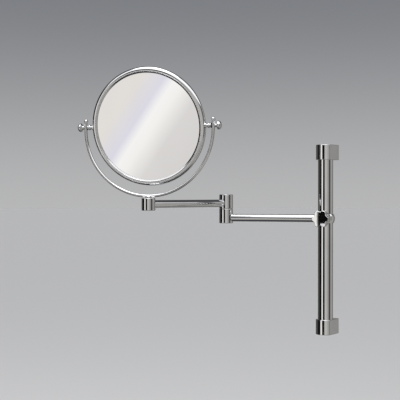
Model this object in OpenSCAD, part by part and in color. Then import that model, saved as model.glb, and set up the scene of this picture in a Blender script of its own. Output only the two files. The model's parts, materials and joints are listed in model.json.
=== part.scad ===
// Extendable shaving mirror for a wall: a vertical rail between two brackets, a slider with a clamp
// knob, two swivelling arms and a double-sided mirror that tilts in a wire yoke.
// Millimetres. The origin is on the wall, halfway between the brackets. X runs along the wall,
// Y into the wall and Z up, so the object stands in front of the wall at negative Y.

/* [Rail] */
// Height over both wall brackets
rail_height = 315; // [280:5:340]
// Outside diameter of the rail tube
rail_d = 25; // [24:0.5:26]
// Wall thickness of the rail tube
rail_wall = 1.5; // [1:0.25:2]
// Distance from the wall to the rail's axis
rail_off = 22; // [21:0.5:26]
// Height of each wall bracket
bracket_h = 25; // [24:1:30]
// Diameter of a bracket's rounded front
bracket_d = 32; // [31:0.5:36]
// Width of a bracket across its two flat flanks
bracket_w = 26.5; // [26:0.5:30]

/* [Arms] */
// Turn of the clamp's barrel from square to the lower arm
clamp_turn = -7.5; // [-10:0.5:10]
// Height of the slider above the middle of the rail
slide_z = 35; // [0:1:80]
// Length of each arm between its pivots
arm_l = 172; // [150:1:190]
// Outside diameter of the arm tubes
arm_d = 12.7; // [12:0.1:13]
// Diameter of the elbow barrels
elbow_d = 23.5; // [23:0.5:26]
// Height of each elbow barrel
elbow_h = 24.4; // [24:0.2:28]
// Diameter of the barrel that carries the yoke
end_d = 22; // [21.5:0.5:24]
// Height of the barrel that carries the yoke
end_h = 20; // [20:0.2:24]

/* [Mirror] */
// Outside diameter of the mirror's rim
rim_d = 190; // [180:1:194]
// Depth of the rim's rounded bead
rim_depth = 11; // [11:0.5:12]
// Visible diameter of each glass
glass_view_d = 170.8; // [166:0.2:172]
// Thickness of the plain front glass
glass_t = 3; // [2.5:0.25:3]
// Radius of curvature of the magnifying rear glass
rear_curve = 1500; // [1400:50:2500]

/* [Yoke] */
// Diameter of the yoke's wire
wire_d = 5; // [4.5:0.25:5.5]
// Distance between the wire's two upright legs
yoke_span = 214; // [214:1:218]
// Height of the tilt pivots above the middle of the wire at the bottom of the bow
pivot_h = 111; // [110:0.2:116]
// Diameter of the ball on each tip of the yoke
finial_d = 7; // [6.5:0.25:8]

/* [Pose at rest] */
// Direction of the lower arm, counted in degrees from straight along the wall
arm_turn = 18; // [5:1:60]
// Turn of the upper arm at the elbow
elbow_turn = 60; // [0:1:90]
// Direction that the mirror faces, in degrees from straight out of the wall
mirror_turn = 20; // [0:1:40]
// Tilt of the mirror towards the floor
mirror_tilt = 9; // [0:1:30]

/* [Hidden] */
$fn = 96;
fit = 0.05;      // radial clearance of a running fit
gap = 0.1;       // gap between flat faces that turn on each other
rail_r = rail_d / 2;
arm_r = arm_d / 2;
wire_r = wire_d / 2;
span_r = yoke_span / 2;

// Brackets
bracket_z = rail_height / 2 - bracket_h / 2;   // height of each bracket's middle
socket_l = 15;                                 // depth of the rail's socket
pocket = [20, 6.2, 19];                        // pocket for the wall plate
plate = [19.6, 5.8, 18.6];
screw_r = 2.25;                                // clearance hole for the wall screw
grub_r = 2;
lock_off = 5;                                  // lock screws from a bracket's middle, towards the rail
bore_in = 10;                                  // cuts into the slider start inside the rail's bore

// Slider and clamp, measured from the rail's axis
body_r = 15.5;
liner_r = 13.5;
body_front = 20;
front_r = 12;                                  // barrel behind the knob
boss_r = 7.8;
boss_end = 18.5;
pad_r = 4.6;
pad_back = 15;
pad_room = 16.2;
stud_r = 3;
knob_back = body_front + 0.3;
knob_t = 10.6;
knob_lobes = 6;
knob_reach = 14.7;                             // radius over the lobes
lobe_r = 4.2;
knob_dome = 110;                               // radius of the knob's gently domed face

// Elbow, with heights measured from the lower arm's axis
arm_low = 9.4;                                 // arm axis above the foot of its barrel
elbow_gap = 0.4;
rise = elbow_h + elbow_gap;                    // upper arm's axis above the lower one's
elbow_r = elbow_d / 2;
bolt_r = 4;
bush_r = 6;
plug_r = 3;                                    // threaded tip of the plug in each arm's end
plug_l = 14;
nut_room = 8.6;                                // bore over the elbow's nut, closed by the top cap
cap_r = 8;                                     // bore under the elbow's bolt, closed by the bottom cap
cap_t = 1.4;
head_h = 4;
spring_t = 0.8;
edge = 0.8;                                    // rounding of the turned edges
bush_top = rise + arm_r + 0.4;
washer_floor = bush_top + 0.4;
nut_floor = washer_floor + 2 * spring_t + 0.2;
nut_h = 3.6;

// End barrel and yoke, with heights measured from the upper arm's axis
end_r = end_d / 2;
end_low = 10.4;                                // arm axis above the foot of the barrel
end_top = end_h - end_low;
stem_r = 4;
end_cap_r = 7.4;                               // bore under the stem's nut, closed by the end cap
end_room = 7;
collar_r = 5;
stem_washer_t = 0.4;
collar_z = end_top + gap + stem_washer_t;
bow_z = collar_z + 0.2 + wire_r;               // wire's centre at the bottom of the bow
pivot_z = bow_z + pivot_h;

// Mirror, measured from its middle along its own axis
bead_r = rim_depth / 2;
bead_at = rim_d / 2 - bead_r;
seat_r = bead_at - 1.3;                        // bore that holds the glasses
web_r = seat_r - 2.4;                          // ring that parts the two glasses
view_r = glass_view_d / 2;
web_front = 1.0;
web_back = -0.8;
front_face = web_front + glass_t;
rear_face = -4.4;
gasket_t = 0.4;
glass_gap = 0.15;

// Pivot studs, spacers and thumb knobs, measured outwards from the mirror's middle
pin_r = 1.5;
root_r = 2;
root_in = bead_at - 0.8;
washer_x = span_r - wire_r - 0.3;              // outer face of the friction washer
washer_t = 0.5;
knob_x = span_r + wire_r + 0.3;
thumb_r = 6.9;
thumb_l = 11;
finial_z = 10;

// ---- Places ----

module on_rail() { translate([0, -rail_off, 0]) children(); }

module at_slider() { on_rail() translate([0, 0, slide_z]) rotate(arm_turn) children(); }

module at_elbow() { at_slider() translate([-arm_l, 0, 0]) rotate(elbow_turn) children(); }

module at_clamp() { at_slider() rotate(clamp_turn) children(); }

// The lower half of the elbow belongs to the lower arm, so it doesn't take the elbow's turn
module at_elbow_low() { at_slider() translate([-arm_l, 0, 0]) children(); }

module at_end() { at_elbow() translate([-arm_l, 0, rise]) children(); }

module at_yoke() { at_end() rotate(mirror_turn - arm_turn - elbow_turn) children(); }

module at_mirror() { at_yoke() translate([0, 0, pivot_z]) rotate([mirror_tilt, 0, 0]) children(); }

// Lays the work along the mirror's own axis, with +Z out of its front
module facing() { at_mirror() rotate([90, 0, 0]) children(); }

// side is -1 for the left end of the tilt axis and 1 for the right end, with +Z pointing outwards
module along_pivot(side) { at_mirror() rotate([0, side * 90, 0]) children(); }

// ---- Shared shapes ----

// A round bar with a rounded edge at each end that is given a radius
module turned(r, h, low = 0, high = 0) {
    rotate_extrude() difference() {
        square([r, h]);
        if (low > 0) edge_cut(r, 0, low);
        if (high > 0) translate([0, h]) mirror([0, 1]) edge_cut(r, 0, high);
    }
}

// The corner that is left outside a quarter circle
module edge_cut(r, z, e) {
    translate([r - e, z]) difference() {
        translate([0, -1]) square([e + 1, e + 1]);
        translate([0, e]) circle(e);
    }
}

module ring(r_out, r_in, h) {
    difference() {
        cylinder(r = r_out, h = h);
        translate([0, 0, -1]) cylinder(r = r_in, h = h + 2);
    }
}

// A cylinder that starts from x = from and runs along -X
module bar_left(r, from, to) { translate([-from, 0, 0]) rotate([0, -90, 0]) cylinder(r = r, h = to - from); }

// A cylinder that starts from y = -from and runs along -Y
module bar_front(r, from, to) { translate([0, -from, 0]) rotate([90, 0, 0]) cylinder(r = r, h = to - from); }

// A grub screw with a hexagon socket in its outer end
module grub(r, h) {
    difference() {
        cylinder(r = r, h = h);
        translate([0, 0, -1]) cylinder(r = r / 2, h = 3, $fn = 6);
    }
}

// ---- Rail and brackets ----

module wall_plate() {
    difference() {
        translate([-plate[0] / 2, -plate[1], -plate[2] / 2]) cube(plate);
        bar_front(screw_r, -1, plate[1] + 1);
        translate([0, -plate[1] / 2, -plate[2] / 2 - 1]) cylinder(r = grub_r + fit, h = 3.5);
    }
}

module top_wall_plate() { color("silver") translate([0, 0, bracket_z]) wall_plate(); }

module bottom_wall_plate() { color("silver") translate([0, 0, -bracket_z]) wall_plate(); }

// Outline of a bracket seen from above: a round front cut by two flanks that run to the wall
module bracket_outline() {
    intersection() {
        translate([-bracket_w / 2, -rail_off - bracket_d]) square([bracket_w, rail_off + bracket_d]);
        union() {
            translate([0, -rail_off]) circle(bracket_d / 2);
            translate([-bracket_w / 2, -rail_off]) square([bracket_w, rail_off]);
        }
    }
}

// end is 1 for the top bracket and -1 for the bottom one
module bracket(end) {
    translate([0, 0, end * bracket_z]) difference() {
        translate([0, 0, -bracket_h / 2]) linear_extrude(bracket_h) bracket_outline();
        on_rail() translate([0, 0, -end * bracket_h / 2 - (end > 0 ? 1 : socket_l)])
            cylinder(r = rail_r, h = socket_l + 1);
        translate([-pocket[0] / 2, -pocket[1], -pocket[2] / 2]) cube([pocket[0], pocket[1] + 1, pocket[2]]);
        translate([0, -plate[1] / 2, -bracket_h / 2 - 1]) cylinder(r = grub_r, h = 8);
        translate([0, 0, -end * lock_off]) bar_front(grub_r, 3, rail_off - rail_r + 1);
    }
}

module top_bracket() { color("gainsboro") bracket(1); }

module bottom_bracket() { color("gainsboro") bracket(-1); }

module rail_tube() {
    tube_l = 2 * (rail_height / 2 - bracket_h + socket_l);
    color("gainsboro") difference() {
        on_rail() translate([0, 0, -tube_l / 2]) ring(rail_r, rail_r - rail_wall, tube_l);
        for (end = [-1, 1]) translate([0, 0, end * (bracket_z - lock_off)])
            bar_front(grub_r, pocket[1], rail_off);
    }
}

module bracket_grub_screws() {
    color("dimgray") for (end = [-1, 1])
        translate([0, -plate[1] / 2, end * bracket_z - bracket_h / 2 + 0.5]) grub(grub_r, 4.4);
}

module rail_lock_screws() {
    color("dimgray") for (end = [-1, 1]) translate([0, -pocket[1] - 0.2, end * (bracket_z - lock_off)])
        rotate([90, 0, 0]) grub(grub_r, 5.4);
}

// ---- Slider, lower arm and lower half of the elbow ----

module slider_body() {
    color("gainsboro") at_slider() difference() {
        union() {
            sphere(body_r);
            rotate(clamp_turn) bar_front(front_r, 0, body_front);
            bar_left(boss_r, 0, boss_end);
        }
        translate([0, 0, -body_r - 1]) cylinder(r = liner_r + fit, h = 2 * body_r + 2);
        rotate(clamp_turn) bar_front(pad_r + fit, bore_in, pad_room);
        rotate(clamp_turn) bar_front(stud_r + fit, bore_in, body_front + 1);
        bar_left(arm_r, liner_r + 1.5, boss_end + 1);
    }
}

// Two nylon rings on the rail, one above and one below the clamp pad, that the slider turns on
module slider_rings() {
    inner_z = pad_r + 0.2;
    outer_z = sqrt(body_r * body_r - liner_r * liner_r) - 0.2;
    color("ivory") at_slider() for (foot = [-outer_z, inner_z]) translate([0, 0, foot])
        ring(liner_r, rail_r + fit, outer_z - inner_z);
}

// A tube along -X, closed by nothing, from one end face to the other
module arm_tube(from, to) {
    difference() {
        bar_left(arm_r, from, to);
        bar_left(arm_r - 1, from - 1, to + 1);
    }
}

module lower_arm_tube() {
    color("gainsboro") at_slider() arm_tube(liner_r + 1.5, arm_l - elbow_r + 2.5);
}

// A plug fills the end of each arm tube, and its threaded tip screws into the barrel
module lower_arm_spigot() {
    tube_end = arm_l - elbow_r + 2.5;
    color("darkkhaki") at_slider() union() {
        bar_left(arm_r - 1, tube_end - plug_l, tube_end);
        bar_left(plug_r, tube_end, arm_l - bolt_r - 1.2);
    }
}

module elbow_lower_barrel() {
    color("gainsboro") at_elbow_low() difference() {
        translate([0, 0, -arm_low]) turned(elbow_r, elbow_h, edge, 0.3);
        translate([0, 0, -arm_low - 1]) cylinder(r = bolt_r, h = elbow_h + 2);
        translate([0, 0, -arm_low - 1]) cylinder(r = cap_r, h = 1 + cap_t + 0.2 + head_h);
        translate([elbow_r - 2.5, 0, 0]) rotate([0, 90, 0]) cylinder(r = arm_r, h = 5);
        translate([bolt_r + 1.2, 0, 0]) rotate([0, 90, 0]) cylinder(r = plug_r, h = elbow_r - bolt_r);
    }
}

module elbow_bolt() {
    bolt_l = arm_low - cap_t - 0.2 + nut_floor + nut_h + 0.3;
    color("silver") at_elbow_low() translate([0, 0, -arm_low + cap_t + 0.2]) difference() {
        union() {
            cylinder(r = 6.5, h = head_h);
            cylinder(r = bolt_r, h = bolt_l);
        }
        translate([0, 0, -1]) cylinder(r = 2.9, h = 3.5, $fn = 6);
    }
}

module elbow_bottom_cap() {
    color("gainsboro") at_elbow_low() translate([0, 0, -arm_low]) cylinder(r = cap_r, h = cap_t);
}

module elbow_disc_springs() {
    color("silver") at_elbow_low() for (i = [0, 1])
        translate([0, 0, washer_floor + i * (spring_t + gap)]) ring(7.5, bolt_r, spring_t);
}

module elbow_lock_nut() {
    color("silver") at_elbow_low() translate([0, 0, nut_floor]) difference() {
        cylinder(r = 7, h = nut_h, $fn = 6);
        translate([0, 0, -1]) cylinder(r = bolt_r, h = nut_h + 2);
    }
}

// ---- Clamp ----

module clamp_pad() {
    color("ivory") at_clamp() difference() {
        bar_front(pad_r, 8, pad_back);
        translate([0, 0, -10]) cylinder(r = rail_r + fit, h = 20);
    }
}

module clamp_screw() {
    color("silver") at_clamp() bar_front(stud_r, pad_back + gap, knob_back + 7);
}

module knob_outline() {
    circle(knob_reach - lobe_r + 1.4);
    for (i = [0 : knob_lobes - 1]) rotate(i * 360 / knob_lobes)
        translate([knob_reach - lobe_r, 0]) circle(lobe_r);
}

module clamp_knob() {
    color("gainsboro") at_clamp() translate([0, -knob_back, 0]) rotate([90, 0, 0]) difference() {
        intersection() {
            linear_extrude(knob_t) knob_outline();
            translate([0, 0, knob_t - knob_dome]) sphere(knob_dome, $fn = 128);
        }
        translate([0, 0, -1]) cylinder(r = stud_r, h = 8);
    }
}

// ---- Upper half of the elbow, upper arm and end barrel ----

module elbow_upper_barrel() {
    foot = elbow_h + elbow_gap - arm_low;
    color("gainsboro") at_elbow() translate([0, 0, foot]) difference() {
        turned(elbow_r, elbow_h, 0.3, edge);
        translate([0, 0, -1]) cylinder(r = bush_r, h = elbow_h);
        translate([0, 0, bush_top + 0.2 - foot]) cylinder(r = nut_room, h = elbow_h);
        translate([-elbow_r + 2.5, 0, arm_low]) rotate([0, -90, 0]) cylinder(r = arm_r, h = 5);
        translate([-bush_r - 1, 0, arm_low]) rotate([0, -90, 0]) cylinder(r = plug_r, h = elbow_r - bush_r);
    }
}

module elbow_bush() {
    foot = elbow_h + elbow_gap - arm_low;
    color("darkkhaki") at_elbow() translate([0, 0, foot]) ring(bush_r, bolt_r + fit, bush_top - foot);
}

module elbow_friction_washer() {
    color("dimgray") at_elbow() translate([0, 0, elbow_h - arm_low + gap])
        ring(elbow_r - 1.2, bolt_r + fit, elbow_gap - gap);
}

// A shallow domed cap pressed into the barrel's mouth
module elbow_top_cap() {
    top = elbow_h + rise - arm_low;
    lid_t = 1.6;
    dome_r = 60;
    color("gainsboro") at_elbow() translate([0, 0, top]) rotate_extrude() intersection() {
        translate([0, -lid_t]) square([nut_room, 2 * lid_t]);
        translate([0, 0.6 - dome_r]) circle(dome_r, $fn = 720);
    }
}

module upper_arm_tube() {
    color("gainsboro") at_elbow() translate([0, 0, rise])
        arm_tube(elbow_r - 2.5, arm_l - end_r + 2.2);
}

module upper_arm_spigots() {
    near = elbow_r - 2.5;
    far = arm_l - end_r + 2.2;
    color("darkkhaki") at_elbow() translate([0, 0, rise]) {
        bar_left(arm_r - 1, near, near + plug_l);
        bar_left(plug_r, bush_r + 1, near);
        bar_left(arm_r - 1, far - plug_l, far);
        bar_left(plug_r, far, arm_l - bush_r - 1);
    }
}

module end_barrel() {
    color("gainsboro") at_end() difference() {
        translate([0, 0, -end_low]) turned(end_r, end_h, edge, edge);
        translate([0, 0, -end_low - 1]) cylinder(r = bush_r, h = end_h + 2);
        translate([0, 0, -end_low - 1]) cylinder(r = end_cap_r, h = end_room + 1);
        translate([end_r - 2.2, 0, 0]) rotate([0, 90, 0]) cylinder(r = arm_r, h = 5);
        translate([bush_r + 1, 0, 0]) rotate([0, 90, 0]) cylinder(r = plug_r, h = end_r - bush_r);
    }
}

module end_bush() {
    color("darkkhaki") at_end() translate([0, 0, end_room - end_low])
        ring(bush_r, stem_r + fit, end_h - end_room);
}

module end_bottom_cap() {
    color("gainsboro") at_end() translate([0, 0, -end_low]) cylinder(r = end_cap_r, h = 1.2);
}

// ---- Yoke ----

// The half circle of wire, with one end at each leg
module half_ring() {
    translate([0, 0, bow_z + span_r]) rotate([90, 0, 0]) rotate(180)
        rotate_extrude(angle = 180) translate([span_r, 0]) circle(wire_r, $fn = 48);
}

module yoke_bow() {
    leg_l = pivot_h - span_r + finial_z - finial_d / 2 + 0.5;
    color("gainsboro") at_yoke() difference() {
        union() {
            half_ring();
            for (side = [-1, 1]) translate([side * span_r, 0, bow_z + span_r])
                cylinder(r = wire_r, h = leg_l, $fn = 48);
        }
        translate([-span_r - 5, 0, pivot_z]) rotate([0, 90, 0]) cylinder(r = pin_r + fit, h = yoke_span + 10);
    }
}

module finial(side) {
    color("gainsboro") at_yoke() translate([side * span_r, 0, pivot_z + finial_z]) difference() {
        sphere(finial_d / 2);
        translate([0, 0, -finial_d]) cylinder(r = wire_r, h = finial_d / 2 + 0.5, $fn = 48);
    }
}

module left_finial() { finial(-1); }

module right_finial() { finial(1); }

// The stem turns in the end barrel, and its collar is grooved for the wire that is brazed into it
module yoke_stem() {
    color("gainsboro") at_yoke() difference() {
        union() {
            translate([0, 0, 2.6 - end_low]) cylinder(r = stem_r, h = collar_z + 1 + end_low - 2.6);
            translate([0, 0, collar_z]) turned(collar_r, bow_z - collar_z, 0.3, 0.5);
        }
        half_ring();
    }
}

module stem_washer() {
    color("dimgray") at_yoke() translate([0, 0, end_top + gap]) ring(collar_r + 0.6, stem_r, stem_washer_t);
}

module stem_disc_springs() {
    color("silver") at_yoke() translate([0, 0, end_room - gap - spring_t - end_low])
        ring(6.8, stem_r, spring_t);
}

module stem_nut() {
    color("silver") at_yoke() translate([0, 0, 3 - end_low]) difference() {
        cylinder(r = 6.8, h = 3, $fn = 6);
        translate([0, 0, -1]) cylinder(r = stem_r, h = 5);
    }
}

// ---- Mirror ----

module rim_bead(grow = 0) {
    rotate_extrude($fn = 192) translate([bead_at, 0]) circle(bead_r + grow, $fn = 64);
}

module mirror_rim() {
    color("gainsboro") difference() {
        facing() union() {
            difference() {
                rim_bead();
                translate([0, 0, -bead_r - 1]) cylinder(r = seat_r, h = rim_depth + 2, $fn = 192);
            }
            translate([0, 0, web_back]) ring(seat_r + 0.5, web_r, web_front - web_back, $fn = 192);
        }
        for (side = [-1, 1]) along_pivot(side) translate([0, 0, root_in]) cylinder(r = root_r, h = 12);
    }
}

module front_glass() {
    color("lightsteelblue") facing() translate([0, 0, web_front])
        cylinder(r = seat_r - glass_gap, h = glass_t, $fn = 192);
}

// Depth of the magnifying hollow at a distance from its middle
function hollow(r) = sqrt(rear_curve * rear_curve - r * r) - sqrt(rear_curve * rear_curve - view_r * view_r);

// Flat behind and hollow in front as far as the bezel, so that it magnifies
module rear_glass() {
    reach = seat_r - glass_gap;
    steps = 14;
    color("lightsteelblue") facing() rotate_extrude($fn = 192) polygon([
        for (i = [0 : steps]) [i * view_r / steps, rear_face + hollow(i * view_r / steps)],
        [reach, rear_face],
        [reach, web_back],
        [0, web_back]
    ]);
}

module backing_pad() {
    color("tan") facing() translate([0, 0, web_back])
        cylinder(r = web_r - glass_gap, h = web_front - web_back, $fn = 192);
}

module front_gasket() {
    color("dimgray") facing() translate([0, 0, front_face]) ring(seat_r, view_r + 0.4, gasket_t, $fn = 192);
}

module rear_gasket() {
    color("dimgray") facing() translate([0, 0, rear_face - gasket_t])
        ring(seat_r, view_r + 0.4, gasket_t, $fn = 192);
}

// A stepped ring: an outer ledge beside the bead and a lower, rounded lip over the glass
module bezel() {
    rotate_extrude($fn = 192) union() {
        translate([view_r + 1.4, 0]) square([seat_r - view_r - 1.4, 1.7]);
        translate([view_r, 0]) square([2, 0.8]);
        translate([view_r + 0.8, 0.8]) circle(0.6, $fn = 32);
    }
}

module front_bezel() { color("silver") facing() translate([0, 0, front_face + gasket_t]) bezel(); }

module rear_bezel() {
    color("silver") facing() translate([0, 0, rear_face - gasket_t]) mirror([0, 0, 1]) bezel();
}

// ---- Tilt pivots ----

module pivot_stud(side) {
    color("silver") along_pivot(side) {
        translate([0, 0, root_in]) cylinder(r = root_r, h = rim_d / 2 + 1 - root_in);
        translate([0, 0, rim_d / 2 + 1]) cylinder(r = pin_r, h = knob_x + 7 - rim_d / 2 - 1);
    }
}

module left_pivot_stud() { pivot_stud(-1); }

module right_pivot_stud() { pivot_stud(1); }

// A turned distance piece: a flared foot that is coped to the rim, a bead and a plain neck
module spacer(side) {
    foot = rim_d / 2 - 2.4;
    top = washer_x - washer_t;
    color("gainsboro") difference() {
        along_pivot(side) difference() {
            union() {
                translate([0, 0, foot]) cylinder(r = 3, h = top - foot);
                translate([0, 0, foot]) cylinder(r = 4.4, h = 3);
                translate([0, 0, top - 1]) cylinder(r = 3.6, h = 1);
                translate([0, 0, top - 3.2]) sphere(4.2);
            }
            cylinder(r = root_r, h = rim_d / 2 + 1);
            cylinder(r = pin_r, h = span_r + 20);
            translate([0, 0, top]) cylinder(r = 9, h = 12);
        }
        facing() rim_bead(0.02);
    }
}

module left_spacer() { spacer(-1); }

module right_spacer() { spacer(1); }

module pivot_washer(side) {
    color("dimgray") along_pivot(side) translate([0, 0, washer_x - washer_t]) ring(4, pin_r, washer_t);
}

module left_friction_washer() { pivot_washer(-1); }

module right_friction_washer() { pivot_washer(1); }

// A mushroom-shaped knob: a neck, a cone, a narrow band and a domed end
module thumb_knob(side) {
    neck_l = 1.8;
    cone_l = 3.6;
    band_l = 1.0;
    dome_l = thumb_l - neck_l - cone_l - band_l;
    dome_r = (thumb_r * thumb_r + dome_l * dome_l) / (2 * dome_l);
    color("gainsboro") along_pivot(side) translate([0, 0, knob_x]) difference() {
        rotate_extrude() union() {
            square([3, neck_l]);
            translate([0, neck_l]) polygon([[0, 0], [3, 0], [thumb_r, cone_l], [0, cone_l]]);
            translate([0, neck_l + cone_l]) square([thumb_r, band_l]);
            intersection() {
                translate([0, thumb_l - dome_r]) circle(dome_r, $fn = 128);
                translate([0, neck_l + cone_l + band_l]) square([thumb_r, dome_l + 1]);
            }
        }
        translate([0, 0, -1]) cylinder(r = pin_r + fit, h = 8.5);
    }
}

module left_thumb_knob() { thumb_knob(-1); }

module right_thumb_knob() { thumb_knob(1); }

// ---- Drawing ----

top_wall_plate();
bottom_wall_plate();
top_bracket();
bottom_bracket();
rail_tube();
bracket_grub_screws();
rail_lock_screws();
slider_body();
slider_rings();
lower_arm_tube();
lower_arm_spigot();
elbow_lower_barrel();
elbow_bolt();
elbow_bottom_cap();
elbow_disc_springs();
elbow_lock_nut();
clamp_pad();
clamp_screw();
clamp_knob();
elbow_upper_barrel();
elbow_bush();
elbow_friction_washer();
elbow_top_cap();
upper_arm_tube();
upper_arm_spigots();
end_barrel();
end_bush();
end_bottom_cap();
yoke_bow();
left_finial();
right_finial();
yoke_stem();
stem_washer();
stem_disc_springs();
stem_nut();
mirror_rim();
front_glass();
rear_glass();
backing_pad();
front_gasket();
rear_gasket();
front_bezel();
rear_bezel();
left_pivot_stud();
right_pivot_stud();
left_spacer();
right_spacer();
left_friction_washer();
right_friction_washer();
left_thumb_knob();
right_thumb_knob();
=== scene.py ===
"""Looks of a wall-mounted extendable shaving mirror: a chromed rail between two brackets, a clamped
slider, two swivelling arms and a round double-sided mirror that tilts in a wire yoke."""

import json
import math

import bmesh
import bpy
from mathutils import Matrix, Vector


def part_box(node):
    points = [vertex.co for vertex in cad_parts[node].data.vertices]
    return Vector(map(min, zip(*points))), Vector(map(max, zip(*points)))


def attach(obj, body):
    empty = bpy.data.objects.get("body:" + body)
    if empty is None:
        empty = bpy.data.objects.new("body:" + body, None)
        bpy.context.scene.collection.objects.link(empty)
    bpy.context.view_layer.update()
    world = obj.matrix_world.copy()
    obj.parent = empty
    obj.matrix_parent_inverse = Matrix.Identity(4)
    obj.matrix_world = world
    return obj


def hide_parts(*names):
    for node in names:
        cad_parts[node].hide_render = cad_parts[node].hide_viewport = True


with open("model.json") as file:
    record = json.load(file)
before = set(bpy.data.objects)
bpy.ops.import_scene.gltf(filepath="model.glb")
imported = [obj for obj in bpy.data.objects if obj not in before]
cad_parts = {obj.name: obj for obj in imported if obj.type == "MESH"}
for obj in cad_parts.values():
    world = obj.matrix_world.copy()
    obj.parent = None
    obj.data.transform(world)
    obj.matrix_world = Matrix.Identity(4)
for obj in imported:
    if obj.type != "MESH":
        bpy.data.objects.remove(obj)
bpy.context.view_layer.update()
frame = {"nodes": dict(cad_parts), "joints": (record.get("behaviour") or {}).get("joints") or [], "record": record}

# ---- Camera ----
# It stands in the room, to the right of the rail and level with its middle, and looks across the
# front of the wall, so the rail is at the right and the mirror hangs out to the left.
camera_data = bpy.data.cameras.new("room_camera")
camera_data.sensor_width = 36.0
camera_data.lens = 85.5
camera = bpy.data.objects.new("room_camera", camera_data)
camera.location = (0.7526, -1.4272, 0.0793)
camera.rotation_euler = (math.radians(90 - 0.49), 0, math.radians(35.7))
bpy.context.scene.collection.objects.link(camera)
bpy.context.scene.camera = camera
bpy.context.scene.view_settings.view_transform = "Standard"

# ---- Studio ----
# A pale floor and backdrop under soft light. The plating mirrors the room round it: a soft box over
# the open side, strip lights with black flags between them, a pale table below and, low in front
# of the glass, a white sheet lit in slanting streaks.
FLOOR_Z = -0.62
FLOOR_R = 40


def set_inputs(tree, node, inputs):
    """Links each of the node's inputs to a socket or sets it to a value."""
    for key, value in inputs.items():
        if isinstance(value, bpy.types.NodeSocket):
            tree.links.new(value, node.inputs[key])
        else:
            node.inputs[key].default_value = value


def add_node(tree, kind, inputs=None, **settings):
    node = tree.nodes.new(kind)
    for key, value in settings.items():
        setattr(node, key, value)
    set_inputs(tree, node, inputs or {})
    return node


def add_ramp(tree, value, stops):
    """The colour that a value from 0 to 1 gives, between stops of a place and a colour each."""
    node = add_node(tree, "ShaderNodeValToRGB", {0: value})
    elements = node.color_ramp.elements
    for number, (place, colour) in enumerate(stops):
        stop = elements[number] if number < 2 else elements.new(place)
        stop.position = place
        stop.color = (*colour, 1)
    return node.outputs[0]


def room_math(operation, *values):
    return add_node(sky, "ShaderNodeMath", dict(enumerate(values)), operation=operation).outputs[0]


def room_fade(value, low, high):
    """0 below low, 1 above high, and smooth between them."""
    ends = {"Value": value, "From Min": low, "From Max": high}
    return add_node(sky, "ShaderNodeMapRange", ends, interpolation_type="SMOOTHSTEP").outputs[0]


def room_mix(share, first, second):
    """The first colour where the share is 0, and the second where it is 1."""
    colours = [(*colour, 1) if isinstance(colour, tuple) else colour for colour in (first, second)]
    inputs = {0: share, 6: colours[0], 7: colours[1]}
    return add_node(sky, "ShaderNodeMix", inputs, data_type="RGBA").outputs[2]


world = bpy.data.worlds.new("studio")
bpy.context.scene.world = world
world.use_nodes = True
sky = world.node_tree
sky.nodes.clear()
direction = add_node(sky, "ShaderNodeTexCoord").outputs["Generated"]
east, north, up = add_node(sky, "ShaderNodeSeparateXYZ", {0: direction}).outputs
south = room_math("MULTIPLY", north, -1.0)
bearing = room_math("ARCTAN2", east, south)
height = room_math("MULTIPLY", room_math("ARCSINE", up), 180 / math.pi)
depth = room_math("MULTIPLY", height, -1.0)

# The lights and flags round the horizon: degrees from straight out of the wall towards +X, and how
# bright it is there
ROOM_BANDS = [
    (-180, 0.24), (-150, 0.22), (-120, 0.10), (-84, 0.07), (-66, 0.008), (-35, 0.008), (-31, 0.85),
    (-14, 0.95), (-11, 0.004), (14, 0.004), (18, 0.5), (34, 0.56), (50, 0.46), (75, 0.30), (88, 0.05),
    (103, 0.05), (112, 0.34), (130, 0.36), (153, 0.30), (157, 0.12), (180, 0.24),
]
WARM_WHITE = (1.0, 0.975, 0.935)
turn = room_math("MULTIPLY_ADD", bearing, 1 / (2 * math.pi), 0.5)
room = add_ramp(sky, turn, [((degrees + 180) / 360, tuple(value * part for part in WARM_WHITE))
                            for degrees, value in ROOM_BANDS])

# Over the open side of the room, out from the wall and to the right, hangs the soft box; below it
# stands the table, with darkness under that
open_side = room_math("ADD", room_math("MULTIPLY", east, 0.64), room_math("MULTIPLY", south, 0.77))
open_side = room_fade(open_side, -0.05, 0.15)
above = room_fade(height, 19, 25)
room = room_mix(above, room, (0.07, 0.07, 0.075))
room = room_mix(room_math("MULTIPLY", above, open_side), room, (1.2, 1.2, 1.22))
table = room_math("MULTIPLY", room_fade(depth, 20, 25), open_side)
room = room_mix(table, room, (0.37, 0.36, 0.34))
room = room_mix(room_fade(depth, 50, 62), room, (0.045, 0.047, 0.055))

# The white sheet: its streaks lean over, and it ends softly at its sides, top and foot
slant = room_math("MULTIPLY_ADD", up, -0.86, bearing)
streaks = add_ramp(sky, room_math("MULTIPLY_ADD", slant, 4.6, -0.466), [
    (0, (0.80, 0.78, 0.80)), (0.26, (0.82, 0.79, 0.75)), (0.40, (0.76, 0.75, 0.84)),
    (0.46, (0.98, 0.97, 0.96)), (0.52, (0.96, 0.94, 0.92)), (0.64, (0.74, 0.72, 0.71)),
    (1, (0.68, 0.66, 0.65)),
])
off_middle = room_math("ABSOLUTE", room_math("SUBTRACT", bearing, 0.02))
sheet = room_math("SUBTRACT", 1.0, room_fade(off_middle, 0.13, 0.15))
sheet = room_math("MULTIPLY", sheet, room_fade(depth, 9, 10))
sheet = room_math("MULTIPLY", sheet, room_fade(height, -24, -21))
room = room_mix(sheet, room, streaks)

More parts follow.
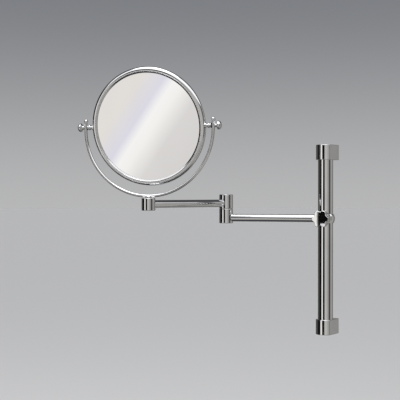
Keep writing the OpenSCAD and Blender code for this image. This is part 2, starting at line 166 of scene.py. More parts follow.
# The plating sees that room; the camera and the floor see a plain pale one
rays = add_node(sky, "ShaderNodeLightPath").outputs
plain = room_mix(room_fade(height, -2, 60), (0.58, 0.59, 0.61), (0.72, 0.73, 0.75))
backdrop = room_mix(room_fade(height, -2.5, 13), (0.478, 0.480, 0.484), (0.20, 0.208, 0.225))
light = room_mix(rays["Is Camera Ray"], plain, backdrop)
light = room_mix(rays["Is Glossy Ray"], light, room)
shine = add_node(sky, "ShaderNodeBackground", {0: light})
add_node(sky, "ShaderNodeOutputWorld", {0: shine.outputs[0]})

floor_mesh = bpy.data.meshes.new("studio_floor")
bm = bmesh.new()
bmesh.ops.create_circle(bm, cap_ends=True, radius=FLOOR_R, segments=96)
bm.to_mesh(floor_mesh)
bm.free()
floor = bpy.data.objects.new("studio_floor", floor_mesh)
floor.location.z = FLOOR_Z
bpy.context.scene.collection.objects.link(floor)
paper = bpy.data.materials.new("floor_paper")
paper.use_nodes = True
tree = paper.node_tree
matt = tree.nodes["Principled BSDF"]
set_inputs(tree, matt, {"Base Color": (0.70, 0.695, 0.688, 1), "Roughness": 0.85})
clear = add_node(tree, "ShaderNodeBsdfTransparent")
is_glossy = add_node(tree, "ShaderNodeLightPath").outputs["Is Glossy Ray"]
blend = add_node(tree, "ShaderNodeMixShader", {0: is_glossy, 1: matt.outputs[0], 2: clear.outputs[0]})
set_inputs(tree, tree.nodes["Material Output"], {0: blend.outputs[0]})
floor_mesh.materials.append(paper)

for name, spot, aim, size, power, mirrored in (
    ("overhead_box", (-0.2, -0.5, 1.9), (-0.1, -0.1, 0.0), 1.4, 16, True),
    ("left_box", (-1.9, -1.5, 0.6), (-0.1, -0.1, 0.1), 0.9, 9, False),
):
    lamp_data = bpy.data.lights.new(name, "AREA")
    lamp_data.size = size
    lamp_data.energy = power
    lamp = bpy.data.objects.new(name, lamp_data)
    lamp.location = spot
    lamp.rotation_euler = (Vector(aim) - Vector(spot)).to_track_quat("-Z", "Y").to_euler()
    lamp.visible_glossy = mirrored
    bpy.context.scene.collection.objects.link(lamp)

# ---- Wall brackets ----
# Two die-cast zinc blocks, polished and chrome plated, that hold the ends of the rail. Each has a
# round front and flat flanks, is pushed over a steel plate screwed to the wall and is locked on it
# by a grub screw from below.
MM = 0.001
PLATE_COLOUR = (0.86, 0.87, 0.88)


def begin_material(name):
    """A new material, its node tree, its surface shader and the point's place on the object."""
    material = bpy.data.materials.new(name)
    material.use_nodes = True
    tree = material.node_tree
    place = add_node(tree, "ShaderNodeTexCoord").outputs["Object"]
    return material, tree, tree.nodes["Principled BSDF"], place


def add_noise(tree, place, scale, detail=2.0):
    inputs = {"Vector": place, "Scale": scale, "Detail": detail}
    return add_node(tree, "ShaderNodeTexNoise", inputs).outputs["Fac"]


def add_span(tree, value, given, wanted):
    """Spreads the given range of a value over the wanted one."""
    ends = {"From Min": given[0], "From Max": given[1], "To Min": wanted[0], "To Max": wanted[1]}
    return add_node(tree, "ShaderNodeMapRange", {"Value": value, **ends}).outputs[0]


def add_bump(tree, value, strength, distance, under=None):
    """Relief from a value, laid over other relief if there is some."""
    bump = add_node(tree, "ShaderNodeBump",
                    {"Height": value, "Strength": strength, "Distance": distance})
    if under is not None:
        set_inputs(tree, bump, {"Normal": under})
    return bump.outputs[0]


def plating(name, colour=PLATE_COLOUR, rough=(0.035, 0.075), grain=(1, 1, 1), grain_bump=0.0,
            ripple=0.012):
    """Bright plate: nearly smooth, with a faint ripple, dried spots and the tool's fine lines."""
    material, tree, metal, place = begin_material(name)
    cloud = add_noise(tree, place, 38.0, detail=4.0)
    spots = add_node(tree, "ShaderNodeTexVoronoi", {"Vector": place, "Scale": 210.0},
                     feature="SMOOTH_F1").outputs["Distance"]
    haze = add_span(tree, cloud, (0.35, 0.75), rough)
    dried = add_span(tree, spots, (0.06, 0.2), (0.05, 0.0))
    roughness = add_node(tree, "ShaderNodeMath", {0: haze, 1: dried}, operation="ADD").outputs[0]
    tone = add_ramp(tree, cloud, [(0.3, [part * 0.93 for part in colour]), (0.6, colour)])
    along = add_node(tree, "ShaderNodeMapping", {"Vector": place, "Scale": grain}).outputs[0]
    lines = add_bump(tree, add_noise(tree, along, 900.0), grain_bump, 0.00003)
    swell = add_bump(tree, add_noise(tree, place, 90.0), ripple, 0.0005, under=lines)
    set_inputs(tree, metal, {"Metallic": 1.0, "IOR": 1.5, "Base Color": tone, "Roughness": roughness,
                             "Normal": swell})
    return material


def place_at(origin, along=(0, 0, 1), across=(1, 0, 0)):
    """A matrix that takes millimetres, with +Z along the given direction, to the frame's metres."""
    z = Vector(along).normalized()
    x = Vector(across)
    x = (x - z * x.dot(z)).normalized()
    y = z.cross(x)
    turned = Matrix((x, y, z)).transposed().to_4x4()
    return Matrix.Translation(origin) @ turned @ Matrix.Scale(MM, 4)


def add_piece(bm, name, body, material, replaced, place, crease=32):
    """Puts a finished mesh into the frame, smooth except at its creases."""
    bmesh.ops.remove_doubles(bm, verts=bm.verts, dist=1e-4)
    bmesh.ops.recalc_face_normals(bm, faces=bm.faces)
    bmesh.ops.transform(bm, matrix=place, verts=bm.verts)
    for face in bm.faces:
        face.smooth = True
    for edge in bm.edges:
        edge.smooth = len(edge.link_faces) == 2 and edge.calc_face_angle() < math.radians(crease)
    mesh = bpy.data.meshes.new(name)
    bm.to_mesh(mesh)
    bm.free()
    mesh.materials.append(material)
    piece = bpy.data.objects.new(name, mesh)
    bpy.context.scene.collection.objects.link(piece)
    even = piece.modifiers.new("even_normals", "WEIGHTED_NORMAL")
    even.keep_sharp = True
    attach(piece, body)
    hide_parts(*replaced)
    return piece


def cut_and_join(bm, *steps):
    """Cuts each step's solid out of bm's, or joins it on, in turn, and gives back the result."""
    work = bpy.data.meshes.new("blank")
    bmesh.ops.recalc_face_normals(bm, faces=bm.faces)
    bm.to_mesh(work)
    bm.free()
    blank = bpy.data.objects.new("blank", work)
    bpy.context.scene.collection.objects.link(blank)
    tools = []
    for solid, operation in steps:
        bmesh.ops.recalc_face_normals(solid, faces=solid.faces)
        tool_mesh = bpy.data.meshes.new("tool")
        solid.to_mesh(tool_mesh)
        solid.free()
        tool = bpy.data.objects.new("tool", tool_mesh)
        bpy.context.scene.collection.objects.link(tool)
        step = blank.modifiers.new("step", "BOOLEAN")
        step.operation = operation
        step.solver = "EXACT"
        step.object = tool
        tools.append(tool)
    bpy.context.view_layer.update()
    result = bmesh.new()
    result.from_object(blank, bpy.context.evaluated_depsgraph_get())
    for used in [blank, *tools]:
        used_mesh = used.data
        bpy.data.objects.remove(used)
        bpy.data.meshes.remove(used_mesh)
    return result


def block(size, middle):
    bm = bmesh.new()
    place = Matrix.Translation(middle) @ Matrix.Diagonal((*size, 1))
    bmesh.ops.create_cube(bm, size=1.0, matrix=place)
    return bm


def rod(radius, depth, place, segments=64):
    bm = bmesh.new()
    bmesh.ops.create_cone(bm, cap_ends=True, segments=segments, radius1=radius, radius2=radius,
                          depth=depth, matrix=place)
    return bm


joints = {joint["name"]: joint for joint in frame["joints"]}
bracket_plate = plating("bracket_plate", rough=(0.04, 0.085), ripple=0.02)
bracket_low, bracket_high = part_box("top_bracket")
BRACKET_W = (bracket_high.x - bracket_low.x) / MM
BRACKET_H = (bracket_high.z - bracket_low.z) / MM
BRACKET_FRONT_R = 16.0
BRACKET_ROUND = 0.9
END_WALL = 10
RAIL_OUT = -joints["slider_swivel"]["pos_m"][1] / MM
RAIL_R = 12.5
POCKET = (20, 6.2, 19)
GRUB_R = 2.0
GRUB_HOLE = 8

for end, node in ((1, "top_bracket"), (-1, "bottom_bracket")):
    bm = bmesh.new()
    flank = BRACKET_W / 2
    reach = math.sqrt(BRACKET_FRONT_R ** 2 - flank ** 2)
    start = bm.verts.new((-flank, -RAIL_OUT - reach, -BRACKET_H / 2))
    sweep = math.pi - 2 * math.atan2(reach, flank)
    bmesh.ops.spin(bm, geom=[start], cent=(0, -RAIL_OUT, 0), axis=(0, 0, 1), angle=sweep, steps=48)
    corners = [bm.verts.new((side * flank, 0, -BRACKET_H / 2)) for side in (1, -1)]
    right_end = [v for v in bm.verts if len(v.link_edges) == 1 and v.co.x > 0][0]
    left_end = [v for v in bm.verts if len(v.link_edges) == 1 and v.co.x < 0][0]
    for pair in ((right_end, corners[0]), (corners[0], corners[1]), (corners[1], left_end)):
        bm.edges.new(pair)
    foot = bmesh.ops.contextual_create(bm, geom=bm.edges[:])["faces"]
    grown = bmesh.ops.extrude_face_region(bm, geom=foot)["geom"]
    lifted = [g for g in grown if isinstance(g, bmesh.types.BMVert)]
    bmesh.ops.translate(bm, verts=lifted, vec=(0, 0, BRACKET_H))
    bmesh.ops.recalc_face_normals(bm, faces=bm.faces)
    outline = [e for e in bm.edges if e.calc_face_angle(0) > math.radians(20)
               and not all(v.co.y > -0.01 for v in e.verts)]
    bmesh.ops.bevel(bm, geom=outline, offset=BRACKET_ROUND, offset_type="OFFSET", segments=4,
                    profile=0.5, affect="EDGES", clamp_overlap=True, material=-1)
    pocket = block((POCKET[0], 2 * POCKET[1], POCKET[2]), (0, 0, 0))
    socket = rod(RAIL_R, BRACKET_H, Matrix.Translation((0, -RAIL_OUT, -end * END_WALL)))
    grub_hole = rod(GRUB_R, GRUB_HOLE, Matrix.Translation((0, -POCKET[1] / 2, -BRACKET_H / 2)))
    bm = cut_and_join(bm, (pocket, "DIFFERENCE"), (socket, "DIFFERENCE"), (grub_hole, "DIFFERENCE"))
    middle = (sum(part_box(node), Vector()) / 2).z
    add_piece(bm, node + "_casting", "wall_rail", bracket_plate, [node],
              place_at((0, 0, middle)), crease=28)

# ---- Rail ----
# A 25 mm drawn brass tube, polished lengthways and chrome plated, pushed into a socket in each
# bracket and held there by a hidden lock screw.
TUBE_WALL = 1.5
TUBE_EDGE = 0.3


def arc_corner(before, corner, after, radius, steps):
    """Points of the round that replaces a corner of an outline."""
    a = (Vector(before) - Vector(corner)).normalized()
    b = (Vector(after) - Vector(corner)).normalized()
    half = a.angle(b) / 2
    middle = Vector(corner) + (a + b).normalized() * radius / math.sin(half)
    first = Vector(corner) + a * radius / math.tan(half) - middle
    last = Vector(corner) + b * radius / math.tan(half) - middle
    sweep = first.angle_signed(last)
    return [tuple(middle + Matrix.Rotation(-sweep * i / steps, 2) @ first) for i in range(steps + 1)]


def turned(outline, steps=128, rounds_steps=5):
    """A solid turned about +Z. Each point of the outline is radius, height and the round on it. An
    outline that starts and ends on the axis is a solid bar; any other is closed into a ring."""
    bm = bmesh.new()
    is_bar = outline[0][0] == 0 and outline[-1][0] == 0
    points = []
    for number, (radius, height, rounding) in enumerate(outline):
        before = outline[number - 1][:2]
        after = outline[(number + 1) % len(outline)][:2]
        if rounding:
            points += arc_corner(before, (radius, height), after, rounding, rounds_steps)
        else:
            points.append((radius, height))
    chain = [bm.verts.new((radius, 0, height)) for radius, height in points]
    pairs = list(zip(chain, chain[1:]))
    if not is_bar:
        pairs.append((chain[-1], chain[0]))
    edges = [bm.edges.new(pair) for pair in pairs]
    bmesh.ops.spin(bm, geom=chain + edges, cent=(0, 0, 0), axis=(0, 0, 1), angle=2 * math.pi,
                   steps=steps, use_merge=True)
    bmesh.ops.remove_doubles(bm, verts=bm.verts, dist=1e-5)
    return bm


tube_plate = plating("rail_plate", rough=(0.03, 0.06), grain=(1, 1, 0.01), grain_bump=0.12,
                     ripple=0.006)
rail_low, rail_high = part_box("rail_tube")
rail_l = (rail_high.z - rail_low.z) / MM
bm = turned([(RAIL_R - TUBE_WALL, 0, 0), (RAIL_R, 0, TUBE_EDGE), (RAIL_R, rail_l, TUBE_EDGE),
             (RAIL_R - TUBE_WALL, rail_l, 0)], steps=160)
add_piece(bm, "rail_drawn_tube", "wall_rail", tube_plate, ["rail_tube"],
          place_at((0, -RAIL_OUT * MM, rail_low.z)))

# ---- Slider ----
# A die-cast zinc body that rides on the rail on two nylon rings. It is round behind the rail, runs
# forward into a short barrel that holds the clamp screw, and has a boss on one side for the arm.
slider_at = Vector(joints["slider_swivel"]["pos_m"])
elbow_at = Vector(joints["elbow_turn"]["pos_m"])
end_at = Vector(joints["yoke_swivel"]["pos_m"])
clamp_along = Vector(joints["clamp_knob_turn"]["axis"])
lower_along = (elbow_at - slider_at).normalized()
BODY_R = 15.5
BODY_FRONT = 20.0
FRONT_R = 12.0
FRONT_BLEND = 3.0
BORE_R = 13.55
PAD_BORE_R = 4.8
PAD_ROOM = (10.0, 16.2)
SCREW_HOLE_R = 3.05
SCREW_HOLE = 4.0
FACE_SUNK = 0.5
BOSS_R = 7.8
BOSS_FOOT_R = 9.4
BOSS_END = 18.5

cast_plate = plating("slider_plate", rough=(0.04, 0.09), ripple=0.02)
blend_z = math.sqrt((BODY_R + FRONT_BLEND) ** 2 - (FRONT_R + FRONT_BLEND) ** 2)
blend_from = math.atan2(FRONT_R + FRONT_BLEND, -blend_z)
shell = [(0, -BODY_R, 0)]
shell += [(BODY_R * math.sin(a), -BODY_R * math.cos(a), 0)
          for a in (blend_from * i / 36 for i in range(1, 37))]
shell += [(FRONT_R + FRONT_BLEND * (1 - math.cos(a)), blend_z - FRONT_BLEND * math.sin(a), 0)
          for a in ((blend_from - math.pi / 2) * (1 - i / 6) for i in range(1, 7))]
shell += [(FRONT_R, BODY_FRONT, 1.0), (9.4, BODY_FRONT, 0), (9.0, BODY_FRONT - FACE_SUNK, 0),
          (SCREW_HOLE_R, BODY_FRONT - FACE_SUNK, 0), (SCREW_HOLE_R, BODY_FRONT - SCREW_HOLE, 0),
          (0, BODY_FRONT - SCREW_HOLE, 0)]
body = turned(shell, steps=128)
square_on = Vector((0, 0, 1)).cross(lower_along)
clamp_turn = math.atan2(square_on.cross(clamp_along).z, square_on.dot(clamp_along))
aim_front = Matrix.Rotation(clamp_turn, 4, "Z") @ Matrix.Rotation(math.radians(90), 4, "X")
bmesh.ops.transform(body, matrix=aim_front, verts=body.verts)
boss = turned([(0, 4, 0), (BOSS_FOOT_R, 4, 0), (BOSS_FOOT_R, 13.2, 0.9), (BOSS_R, 14.4, 0.9),
               (BOSS_R, BOSS_END, 0.6), (0, BOSS_END, 0)], steps=96)
bmesh.ops.transform(boss, matrix=Matrix.Rotation(math.radians(-90), 4, "Y"), verts=boss.verts)
bore = rod(BORE_R, 4 * BODY_R, Matrix.Identity(4), segments=128)
pad_bore = turned([(0, PAD_ROOM[0], 0), (PAD_BORE_R, PAD_ROOM[0], 0), (PAD_BORE_R, PAD_ROOM[1], 0),
                   (0, PAD_ROOM[1], 0)], steps=96)
bmesh.ops.transform(pad_bore, matrix=aim_front, verts=pad_bore.verts)
bm = cut_and_join(body, (boss, "UNION"), (bore, "DIFFERENCE"), (pad_bore, "DIFFERENCE"))
add_piece(bm, "slider_casting", "slider", cast_plate, ["slider_body"],
          place_at(slider_at, across=-lower_along), crease=30)

# ---- Clamp knob ----
# A six-lobed die-cast zinc knob, chrome plated, fixed on the clamp screw: rounded lobes, a softly
# domed face, and a flat back with a shallow round recess.
KNOB_BACK = 20.3
KNOB_T = 10.6
KNOB_REACH = 14.7
LOBES = 6
LOBE_R = 4.2
LOBE_SOFT = 0.5
LOBES_FROM = 6.0
LOBES_FULL = 11.0
KNOB_CORE = 11.9
KNOB_DOME = 110.0

knob_plate = plating("knob_plate", rough=(0.035, 0.08), ripple=0.015)


def lobed_edge(angle):
    """The knob's radius in that direction, blended where a lobe meets the core."""
    off = abs((angle + math.pi / LOBES) % (2 * math.pi / LOBES) - math.pi / LOBES)
    lobe_at = KNOB_REACH - LOBE_R
    inside = LOBE_R ** 2 - (lobe_at * math.sin(off)) ** 2
    lobe = lobe_at * math.cos(off) + math.sqrt(inside) if inside > 0 else 0
    return LOBE_SOFT * math.log(math.exp(lobe / LOBE_SOFT) + math.exp(KNOB_CORE / LOBE_SOFT))


def knob_face(radius):
    """The point of the domed face at that distance from the middle."""
    return radius, KNOB_T - radius ** 2 / (2 * KNOB_DOME), 0


bm = turned([(0, 0.8, 0), (5.5, 0.8, 0), (5.5, 0, 0), (KNOB_REACH, 0, 0.9),
             (KNOB_REACH, knob_face(KNOB_REACH)[1], 1.1),
             *(knob_face(radius) for radius in (12.2, 10, 7.5, 5, 2.5, 0))], steps=216, rounds_steps=6)
for vert in bm.verts:
    radius = vert.co.xy.length
    if radius > LOBES_FROM:
        share = min(1.0, (radius - LOBES_FROM) / (LOBES_FULL - LOBES_FROM))
        share = share * share * (3 - 2 * share)
        scale = 1 + (lobed_edge(math.atan2(vert.co.y, vert.co.x)) / KNOB_REACH - 1) * share
        vert.co.x *= scale
        vert.co.y *= scale
        if vert.co.z > KNOB_T / 2:
            vert.co.z += (radius ** 2 - (radius * scale) ** 2) / (2 * KNOB_DOME)
add_piece(bm, "clamp_star_knob", "clamp_handle", knob_plate, ["clamp_knob"],
          place_at(slider_at + clamp_along * KNOB_BACK * MM, clamp_along,
                   (clamp_along.y, -clamp_along.x, 0)))

# ---- Arms ----
# Two lengths of 12.7 mm drawn brass tube, chrome plated, each let into a shallow socket in its
# barrel and drawn up tight by the plug inside it.
ARM_R = 6.35
ARM_WALL = 1.0
ARM_FOOT = 15.0
ELBOW_R = 11.75
END_R = 11.0
ELBOW_SOCKET = 2.5
END_SOCKET = 2.2
arm_l = (elbow_at - slider_at).length / MM
upper_z = sum(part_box("upper_arm_tube"), Vector()).z / 2

for name, node, body_name, start_at, aim, arm_z, begin, finish in (
    ("lower_arm", "lower_arm_tube", "slider", slider_at, elbow_at, slider_at.z,
     ARM_FOOT, arm_l - ELBOW_R + ELBOW_SOCKET),
    ("upper_arm", "upper_arm_tube", "upper_arm", elbow_at, end_at, upper_z,
     ELBOW_R - ELBOW_SOCKET, arm_l - END_R + END_SOCKET),
):
    run = Vector((aim.x - start_at.x, aim.y - start_at.y, 0)).normalized()
    arm_plate = plating(name + "_plate", rough=(0.03, 0.06), grain_bump=0.05, ripple=0.006)
    bm = turned([(ARM_R - ARM_WALL, begin, 0), (ARM_R, begin, 0), (ARM_R, finish, 0),
                 (ARM_R - ARM_WALL, finish, 0)], steps=112)
    add_piece(bm, name + "_drawn_tube", body_name, arm_plate, [node],
              place_at((start_at.x, start_at.y, arm_z), run, (0, 0, 1)))

# ---- Elbow and end barrels ----
# Turned brass barrels, chrome plated, with softly broken edges. The elbow's two halves turn on each
# other about a bolt, with a dark friction washer in the joint; pressed-in caps close their ends.
turned_plate = plating("turned_plate", rough=(0.03, 0.07), grain=(0.02, 0.02, 1), grain_bump=0.10,
                       ripple=0.008)
EDGE = 0.8
MEETING_EDGE = 0.6
BOLT_R = 4.05
BUSH_R = 6.0
CAP_R = 8.0
CAP_T = 1.4
CAP_FLOOR = 5.6
NUT_ROOM_R = 8.6
NUT_FLOOR = 31.35
LID_T = 1.6
LID_RISE = 0.6
END_CAP_R = 7.4
END_CAP_T = 1.2
END_CAP_FLOOR = 7.0
PRESS_GAP = 0.08


def barrel(name, node, body_name, axis, outline):
    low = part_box(node)[0].z
    add_piece(turned(outline, steps=144), name, body_name, turned_plate, [node],
              place_at((axis.x, axis.y, low)))


def height_of(node):
    low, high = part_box(node)
    return (high.z - low.z) / MM


low_h = height_of("elbow_lower_barrel")
barrel("elbow_lower_shell", "elbow_lower_barrel", "slider", elbow_at,
       [(CAP_R, 0, 0.15), (ELBOW_R, 0, EDGE), (ELBOW_R, low_h, MEETING_EDGE), (BOLT_R, low_h, 0),
        (BOLT_R, CAP_FLOOR, 0), (CAP_R, CAP_FLOOR, 0)])
barrel("elbow_lower_cap", "elbow_bottom_cap", "slider", elbow_at,
       [(0, 0, 0), (CAP_R - PRESS_GAP, 0, 0.25), (CAP_R - PRESS_GAP, CAP_T, 0), (0, CAP_T, 0)])
up_h = height_of("elbow_upper_barrel")
nut_floor = NUT_FLOOR - (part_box("elbow_upper_barrel")[0].z - slider_at.z) / MM
barrel("elbow_upper_shell", "elbow_upper_barrel", "upper_arm", elbow_at,
       [(BUSH_R, 0, 0), (ELBOW_R, 0, MEETING_EDGE), (ELBOW_R, up_h, EDGE), (NUT_ROOM_R, up_h, 0.15),
        (NUT_ROOM_R, nut_floor, 0), (BUSH_R, nut_floor, 0)])
barrel("elbow_lid", "elbow_top_cap", "upper_arm", elbow_at,
       [(0, 0, 0), (NUT_ROOM_R - PRESS_GAP, 0, 0), (NUT_ROOM_R - PRESS_GAP, LID_T, 0.25),
        (5.5, LID_T + LID_RISE * 0.6, 8), (0, LID_T + LID_RISE, 0)])
end_h = height_of("end_barrel")
barrel("end_shell", "end_barrel", "upper_arm", end_at,
       [(END_CAP_R, 0, 0.15), (END_R, 0, EDGE), (END_R, end_h, EDGE), (BUSH_R, end_h, 0),
        (BUSH_R, END_CAP_FLOOR, 0), (END_CAP_R, END_CAP_FLOOR, 0)])
barrel("end_cap", "end_bottom_cap", "upper_arm", end_at,
       [(0, 0, 0), (END_CAP_R - PRESS_GAP, 0, 0.25), (END_CAP_R - PRESS_GAP, END_CAP_T, 0),
        (0, END_CAP_T, 0)])

# ---- Yoke ----
# One length of 5 mm brass wire bent into a half circle with two upright legs, chrome plated, brazed
# into the grooved collar of a turned stem. A small ball is fixed on each tip.
tilt_at = Vector(joints["mirror_tilt"]["pos_m"])
tilt_axis = Vector(joints["mirror_tilt"]["axis"])
WIRE_R = 2.5
SPAN_R = 107.0
BALL_R = 3.5
BALL_UP = 10.0
LEG_IN_BALL = 0.5
bow_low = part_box("yoke_bow")[0].z
bow_middle_z = bow_low + (WIRE_R + SPAN_R) * MM

wire_plate = plating("wire_plate", rough=(0.03, 0.065), ripple=0.006)
bm = bmesh.new()
bmesh.ops.create_circle(bm, segments=40, radius=WIRE_R, matrix=Matrix.Translation((SPAN_R, 0, 0)))
bmesh.ops.spin(bm, geom=bm.verts[:] + bm.edges[:], cent=(0, 0, 0), axis=(0, 1, 0), angle=math.pi,
               steps=120)
leg_up = (tilt_at.z - bow_middle_z) / MM + BALL_UP - BALL_R + LEG_IN_BALL
for side in (1, -1):
    rim_edges = [e for e in bm.edges if len(e.link_faces) == 1 and e.verts[0].co.x * side > 0]
    grown = bmesh.ops.extrude_edge_only(bm, edges=rim_edges)["geom"]
    moved = [g for g in grown if isinstance(g, bmesh.types.BMVert)]
    bmesh.ops.translate(bm, verts=moved, vec=(0, 0, leg_up))
    bmesh.ops.contextual_create(bm, geom=[g for g in grown if isinstance(g, bmesh.types.BMEdge)])
add_piece(bm, "yoke_bent_wire", "yoke", wire_plate, ["yoke_bow"],
          place_at((tilt_at.x, tilt_at.y, bow_middle_z), (0, 0, 1), tilt_axis), crease=50)

ball = [(0, -BALL_R, 0)]
ball += [(BALL_R * math.sin(a), -BALL_R * math.cos(a), 0)
         for a in (math.pi * i / 20 for i in range(1, 20))]
ball += [(0, BALL_R, 0)]
for side, node in ((-1, "left_finial"), (1, "right_finial")):
    at = tilt_at + tilt_axis * side * SPAN_R * MM + Vector((0, 0, BALL_UP * MM))
    add_piece(turned(ball, steps=48), node + "_ball", "yoke", wire_plate, [node],
              place_at(at))

STEM_R = 4.0
COLLAR_R = 5.0
stem_low, stem_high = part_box("yoke_stem")
collar_foot = (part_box("stem_washer")[1].z - stem_low.z) / MM
stem_h = (stem_high.z - stem_low.z) / MM
bm = turned([(0, 0, 0), (STEM_R, 0, 0.2), (STEM_R, collar_foot, 0), (COLLAR_R, collar_foot, 0.3),
             (COLLAR_R, collar_foot + 1.5, 0.4), (4.1, collar_foot + 2.1, 0.4),
             (3.2, stem_h + 0.4, 0.5), (0, stem_h + 0.4, 0)], steps=96)
add_piece(bm, "yoke_collared_stem", "yoke", turned_plate, ["yoke_stem"],
          place_at((end_at.x, end_at.y, stem_low.z)))

# ---- Mirror rim ----
# A spun brass ring with a full round bead outside and a rebate inside, chrome plated. A web halfway
# through it parts the plain front glass from the magnifying rear one.
TILT = math.radians(9)
outwards = Vector((tilt_axis.y, -tilt_axis.x, 0))
facing = (outwards * math.cos(TILT) - Vector((0, 0, math.sin(TILT)))).normalized()
mirror_place = place_at(tilt_at, facing, tilt_axis)
BEAD_AT = 89.5
BEAD_R = 5.5
SEAT_R = 88.2
WEB_R = 85.8
WEB_FRONT = 1.0
WEB_BACK = -0.8

rim_plate = plating("rim_plate", rough=(0.03, 0.06), ripple=0.008)
lip_angle = math.acos((SEAT_R - BEAD_AT) / BEAD_R)
outline = [(BEAD_AT + BEAD_R * math.cos(a), BEAD_R * math.sin(a), 0)
           for a in (lip_angle * (i / 30 - 1) for i in range(61))]
outline += [(SEAT_R, WEB_FRONT, 0), (WEB_R, WEB_FRONT, 0), (WEB_R, WEB_BACK, 0), (SEAT_R, WEB_BACK, 0)]
add_piece(turned(outline, steps=288), "mirror_spun_rim", "mirror_head", rim_plate,
          ["mirror_rim"], mirror_place)

# ---- Bezels ----
# A spring ring of chromed brass on each side, snapped in beside the bead. It presses the glass down
# on its gasket and slopes inwards to a thin lip over the edge of the glass.
bezel_plate = plating("bezel_plate", colour=(0.78, 0.785, 0.79), rough=(0.06, 0.13), ripple=0.01)
VIEW_R = 85.4
GLASS_T = 3.0
GASKET_T = 0.4
REAR_FACE = -4.4

for name, node, foot, way in (
    ("front_spring_bezel", "front_bezel", WEB_FRONT + GLASS_T + GASKET_T, 1),
    ("rear_spring_bezel", "rear_bezel", REAR_FACE - GASKET_T, -1),
):
    outline = [(VIEW_R, 0, 0), (SEAT_R, 0, 0), (SEAT_R, 1.7, 0.2), (SEAT_R - 0.55, 1.7, 0.2),
               (SEAT_R - 0.75, 1.45, 0.1), (VIEW_R + 0.2, 0.35, 0.15), (VIEW_R, 0.2, 0.05)]
    bm = turned([(r, way * z, e) for r, z, e in outline], steps=288, rounds_steps=4)
    bmesh.ops.translate(bm, verts=bm.verts, vec=(0, 0, foot))
    add_piece(bm, name, "mirror_head", bezel_plate, [node], mirror_place)

# ---- Glasses ----
# Silvered float glass in front and a silvered magnifying glass behind. The silver lies under the
# glass, whose ground edge is faintly green. Along faint slanting traces its gloss varies, as wiping
# leaves it, and its tone is a little lighter: a painted reflection of the streaks the glass mirrors.
GLASS_R = 88.05


def silvered_glass():
    material, tree, silver, place = begin_material("silvered_glass")
    slanted_traces = {"Vector": place, "Rotation": (0.0, math.radians(28), 0.0), "Scale": (26.0, 26.0, 3.0)}
    wipe_and_painted_streaks = add_noise(tree, add_node(tree, "ShaderNodeMapping", slanted_traces).outputs[0], 1.0, detail=3.0)
    haze = add_span(tree, wipe_and_painted_streaks, (0.4, 0.8), (0.004, 0.035))
    # Painted reflection: the silver's tone is lighter along the slanting streaks; the gloss above is wiping
    tone = add_ramp(tree, wipe_and_painted_streaks, [(0, (0.90, 0.90, 0.895)), (1, (0.94, 0.94, 0.935))])
    set_inputs(tree, silver, {"Metallic": 1.0, "Coat Weight": 0.35, "Coat Roughness": 0.0,
                              "Roughness": haze, "Base Color": tone})
    return material


def ground_edge():
    material, tree, edge, place = begin_material("ground_glass_edge")
    grind = add_noise(tree, place, 700.0)
    tone = add_ramp(tree, grind, [(0, (0.22, 0.36, 0.31)), (1, (0.45, 0.58, 0.53))])
    set_inputs(tree, edge, {"Base Color": tone, "Roughness": 0.35})
    return material


glass_face = silvered_glass()
glass_edge = ground_edge()
REAR_CURVE = 1500.0


def hollow(radius):
    """Depth of the magnifying hollow at that distance from the middle."""
    return math.sqrt(REAR_CURVE ** 2 - radius ** 2) - math.sqrt(REAR_CURVE ** 2 - VIEW_R ** 2)


front_outline = [(0, WEB_FRONT, 0), (GLASS_R, WEB_FRONT, 0.3), (GLASS_R, WEB_FRONT + GLASS_T, 0.3),
                 (0, WEB_FRONT + GLASS_T, 0)]
rear_outline = [(0, WEB_BACK, 0), (GLASS_R, WEB_BACK, 0.3), (GLASS_R, REAR_FACE, 0.3)]
rear_outline += [(r, REAR_FACE + hollow(r), 0) for r in (VIEW_R * (1 - i / 28) for i in range(28))]
rear_outline += [(0, REAR_FACE + hollow(0), 0)]
for name, node, outline in (("plain_glass", "front_glass", front_outline),
                            ("magnifying_glass", "rear_glass", rear_outline)):
    glass = add_piece(turned(outline, steps=192), name, "mirror_head", glass_face,
                      [node], mirror_place)
    glass.data.materials.append(glass_edge)
    for face in glass.data.polygons:
        from_axis = face.center - tilt_at
        out = (from_axis - facing * from_axis.dot(facing)).length
        if out > (GLASS_R - 0.5) * MM:
            face.material_index = 1

# ---- Pivots ----
# On each side of the rim a turned spacer with a flared foot, a bead and a plain neck keeps the rim
# clear of the wire. A mushroom-shaped thumb knob outside the wire sets how stiffly the mirror tilts.
STUD_R = 1.5
NECK_R = 2.8
SPACER_FOOT = 94.4
SPACER_TOP = 103.7
SPACER_TOP_R = 3.7
BEAD_Z = 100.2
BEAD_T = 1.7
BEAD_OUT = 1.5
KNOB_FOOT = 109.8
THUMB_BORE_R = 1.55
THUMB_BORE = 7.4
THUMB_NECK_R = 2.9
THUMB_R = 6.9
THUMB_L = 10.8
DOME_FOOT = 6.6

spacer = [(STUD_R, SPACER_FOOT - 1.6, 0), (4.7, SPACER_FOOT - 1.6, 0), (4.5, SPACER_FOOT + 0.6, 0.5),
          (NECK_R, SPACER_FOOT + 2.9, 1.6), (NECK_R, BEAD_Z - BEAD_T, 0)]
spacer += [(NECK_R + BEAD_OUT * math.cos(a), BEAD_Z + BEAD_T * math.sin(a), 0)
           for a in (math.radians(20 * i) for i in range(-4, 5))]
spacer += [(NECK_R, BEAD_Z + BEAD_T, 0), (NECK_R, SPACER_TOP - 1.1, 0.3),
           (SPACER_TOP_R, SPACER_TOP - 0.9, 0.25), (SPACER_TOP_R, SPACER_TOP, 0.25),
           (STUD_R, SPACER_TOP, 0)]
thumb = [(0, THUMB_BORE, 0), (THUMB_BORE_R, THUMB_BORE, 0), (THUMB_BORE_R, 0, 0), (3.4, 0, 0.3),
         (3.4, 0.9, 0.3), (THUMB_NECK_R, 1.2, 0.2), (THUMB_NECK_R, 2.4, 1.6), (THUMB_R, 5.0, 0.6),
         (THUMB_R, DOME_FOOT, 0.3)]
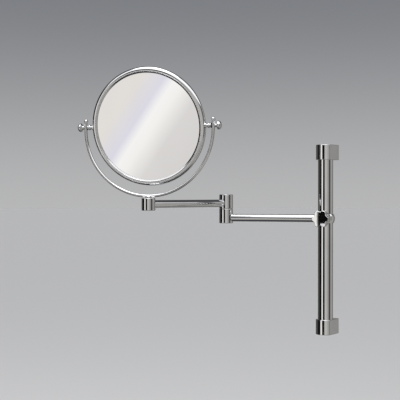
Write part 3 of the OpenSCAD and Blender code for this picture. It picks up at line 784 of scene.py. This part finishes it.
dome_r, dome_z = THUMB_R - 0.35, DOME_FOOT + 0.25
thumb += [(dome_r * math.cos(a), dome_z + (THUMB_L - dome_z) * math.sin(a), 0)
          for a in (math.radians(5 * i) for i in range(18))]
thumb += [(0, THUMB_L, 0)]

for side, left_right in ((-1, "left"), (1, "right")):
    along = tilt_axis * side
    place = place_at(tilt_at, along, facing)
    add_piece(turned(spacer, steps=80), left_right + "_turned_spacer", "mirror_head",
              turned_plate, [left_right + "_spacer"], place)
    bm = turned(thumb, steps=96, rounds_steps=6)
    bmesh.ops.translate(bm, verts=bm.verts, vec=(0, 0, KNOB_FOOT))
    add_piece(bm, left_right + "_thumb_mushroom", left_right + "_thumb", knob_plate,
              [left_right + "_thumb_knob"], place)

# ---- Hidden metal, nylon and rubber ----
# The pieces inside the barrels, the rim and the brackets keep their plain machined shapes: zinc
# plated steel, brass, nylon, rubber and pressed fibre board.


def workshop_finish(name, dark, light, metallic, rough, scale, bump):
    """A plain made surface: two tones of one colour, uneven gloss and a fine grain."""
    material, tree, surface, place = begin_material(name)
    grain = add_noise(tree, place, scale, detail=5.0)
    tone = add_ramp(tree, grain, [(0.3, dark), (0.7, light)])
    gloss = add_span(tree, grain, (0, 1), rough)
    relief = add_bump(tree, grain, bump, 0.0001)
    set_inputs(tree, surface, {"Metallic": metallic, "Base Color": tone, "Roughness": gloss,
                               "Normal": relief})
    return material


# Slot, material, dark and light tone, metallic, range of roughness, grain's scale and relief
FINISHES = {slot: workshop_finish(*recipe) for slot, *recipe in (
    ("zinc_plate", "zinc_plated_sheet", (0.5, 0.51, 0.52), (0.66, 0.67, 0.68),
     1.0, (0.3, 0.5), 160, 0.3),
    ("bright_steel", "zinc_plated_steel", (0.56, 0.56, 0.57), (0.7, 0.7, 0.71),
     1.0, (0.2, 0.38), 400, 0.2),
    ("black_screw", "blackened_steel", (0.05, 0.05, 0.055), (0.1, 0.1, 0.105),
     1.0, (0.35, 0.55), 500, 0.2),
    ("brass", "machined_brass", (0.68, 0.52, 0.24), (0.82, 0.66, 0.36),
     1.0, (0.18, 0.34), 450, 0.2),
    ("nylon", "natural_nylon", (0.82, 0.81, 0.75), (0.9, 0.89, 0.84),
     0.0, (0.4, 0.55), 260, 0.15),
    ("dark_nylon", "black_nylon", (0.07, 0.07, 0.08), (0.11, 0.11, 0.12),
     0.0, (0.45, 0.6), 260, 0.15),
    ("gasket_rubber", "gasket_rubber", (0.04, 0.04, 0.045), (0.07, 0.07, 0.075),
     0.0, (0.7, 0.85), 320, 0.3),
    ("backing", "fibre_board", (0.47, 0.39, 0.29), (0.6, 0.52, 0.4),
     0.0, (0.8, 0.95), 300, 0.5),
)}
slot_of = {part["node"]: part["material_slot"] for part in frame["record"]["subparts"]}
for name, node in frame["nodes"].items():
    if slot_of[name] in FINISHES:
        node.data.materials.clear()
        node.data.materials.append(FINISHES[slot_of[name]])
